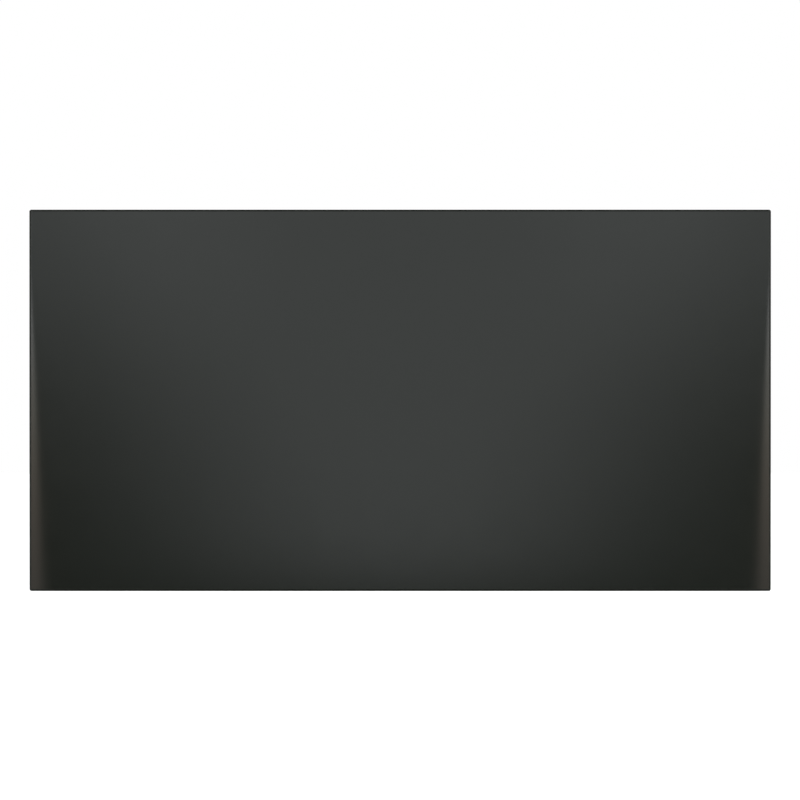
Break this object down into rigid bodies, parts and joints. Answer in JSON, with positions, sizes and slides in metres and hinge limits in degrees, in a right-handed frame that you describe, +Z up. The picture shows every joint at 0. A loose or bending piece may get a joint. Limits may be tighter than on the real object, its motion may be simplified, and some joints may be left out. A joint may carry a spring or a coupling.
{
  "type": "kick plate",
  "caption": "Thin blank rectangular black-coated steel plate that protects the bottom of a door, with foam tape strips and peel-off liners on its back.",
  "frame": {"origin": "centre of the plane where the back of the plate, with its liners on, meets the door", "axes": "+X along the plate's width, +Y out of its back and into the door, +Z up the door; the coated face looks along -Y"},
  "size_m": [0.889, 0.0026, 0.4572],
  "materials": {
    "black_coating": "satin black powder coat over steel sheet, bare on the back",
    "tape_foam": "dark grey acrylic foam",
    "liner_film": "thin red polyethylene film, slightly glossy"
  },
  "bodies": {
    "plate": {"face_plate": "black_coating", "tape_top": "tape_foam", "tape_bottom": "tape_foam", "tape_left": "tape_foam", "tape_inner_1": "tape_foam", "tape_inner_2": "tape_foam", "tape_inner_3": "tape_foam", "tape_inner_4": "tape_foam", "tape_inner_5": "tape_foam", "tape_right": "tape_foam"},
    "liner_top": {"liner_top": "liner_film"},
    "liner_bottom": {"liner_bottom": "liner_film"},
    "liner_left": {"liner_left": "liner_film"},
    "liner_inner_1": {"liner_inner_1": "liner_film"},
    "liner_inner_2": {"liner_inner_2": "liner_film"},
    "liner_inner_3": {"liner_inner_3": "liner_film"},
    "liner_inner_4": {"liner_inner_4": "liner_film"},
    "liner_inner_5": {"liner_inner_5": "liner_film"},
    "liner_right": {"liner_right": "liner_film"}
  },
  "joints": [
    {"name": "liner_top_peel", "type": "slide", "parent": "plate", "child": "liner_top", "axis": [0, 1, 0], "range_m": [0, 0.04]},
    {"name": "liner_bottom_peel", "type": "slide", "parent": "plate", "child": "liner_bottom", "axis": [0, 1, 0], "range_m": [0, 0.04]},
    {"name": "liner_left_peel", "type": "slide", "parent": "plate", "child": "liner_left", "axis": [0, 1, 0], "range_m": [0, 0.04]},
    {"name": "liner_inner_1_peel", "type": "slide", "parent": "plate", "child": "liner_inner_1", "axis": [0, 1, 0], "range_m": [0, 0.04]},
    {"name": "liner_inner_2_peel", "type": "slide", "parent": "plate", "child": "liner_inner_2", "axis": [0, 1, 0], "range_m": [0, 0.04]},
    {"name": "liner_inner_3_peel", "type": "slide", "parent": "plate", "child": "liner_inner_3", "axis": [0, 1, 0], "range_m": [0, 0.04]},
    {"name": "liner_inner_4_peel", "type": "slide", "parent": "plate", "child": "liner_inner_4", "axis": [0, 1, 0], "range_m": [0, 0.04]},
    {"name": "liner_inner_5_peel", "type": "slide", "parent": "plate", "child": "liner_inner_5", "axis": [0, 1, 0], "range_m": [0, 0.04]},
    {"name": "liner_right_peel", "type": "slide", "parent": "plate", "child": "liner_right", "axis": [0, 1, 0], "range_m": [0, 0.04]}
  ]
}
